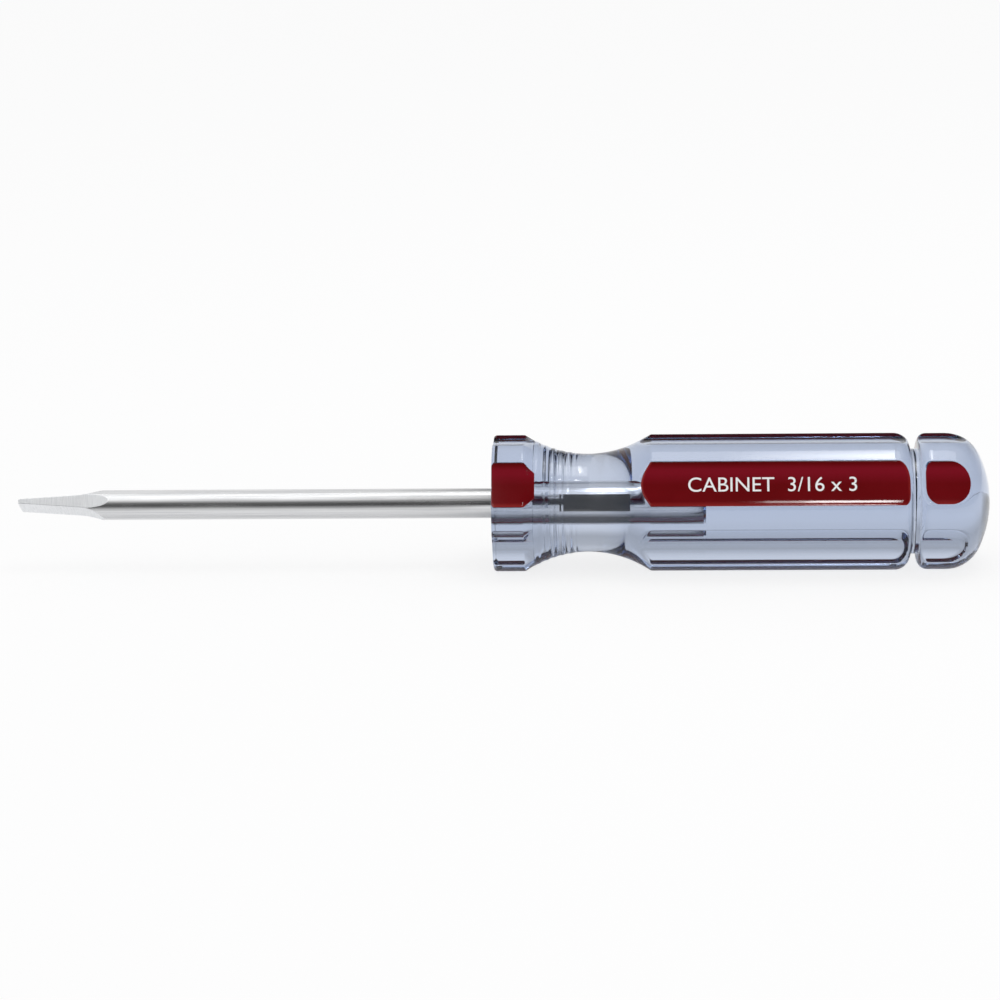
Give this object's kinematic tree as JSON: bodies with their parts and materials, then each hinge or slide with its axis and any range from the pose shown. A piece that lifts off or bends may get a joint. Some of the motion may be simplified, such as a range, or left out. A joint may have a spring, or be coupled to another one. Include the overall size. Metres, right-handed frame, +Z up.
{
  "type": "cabinet screwdriver",
  "caption": "Cabinet screwdriver with a slim round plated blade, a ground slotted tip and a clear fluted handle with red lacquered flutes, a turned waist and a domed cap.",
  "frame": {"origin": "middle of the footprint on the surface that the tool lies on", "axes": "+X along the tool from the tip to the butt, +Z up, the viewer on the -Y side"},
  "size_m": [0.1552, 0.0218, 0.0206],
  "materials": {
    "clear_acetate": "turned, fluted and polished clear acetate with a faint blue cast",
    "plated_steel": "bright nickel plate with fine lengthwise drawing lines; tip ground after plating",
    "red_lacquer": "glossy deep red lacquer laid in the flutes",
    "white_print": "white hot-stamped size figures on the front lacquer"
  },
  "bodies": {
    "root": {"handle": "clear_acetate", "blade": "plated_steel", "collar_stripe_1": "red_lacquer", "collar_stripe_2": "red_lacquer", "collar_stripe_3": "red_lacquer", "grip_stripe_1": "red_lacquer", "grip_stripe_2": "red_lacquer", "grip_stripe_3": "red_lacquer", "cap_stripe_1": "red_lacquer", "cap_stripe_2": "red_lacquer", "cap_stripe_3": "red_lacquer"}
  },
  "joints": []
}
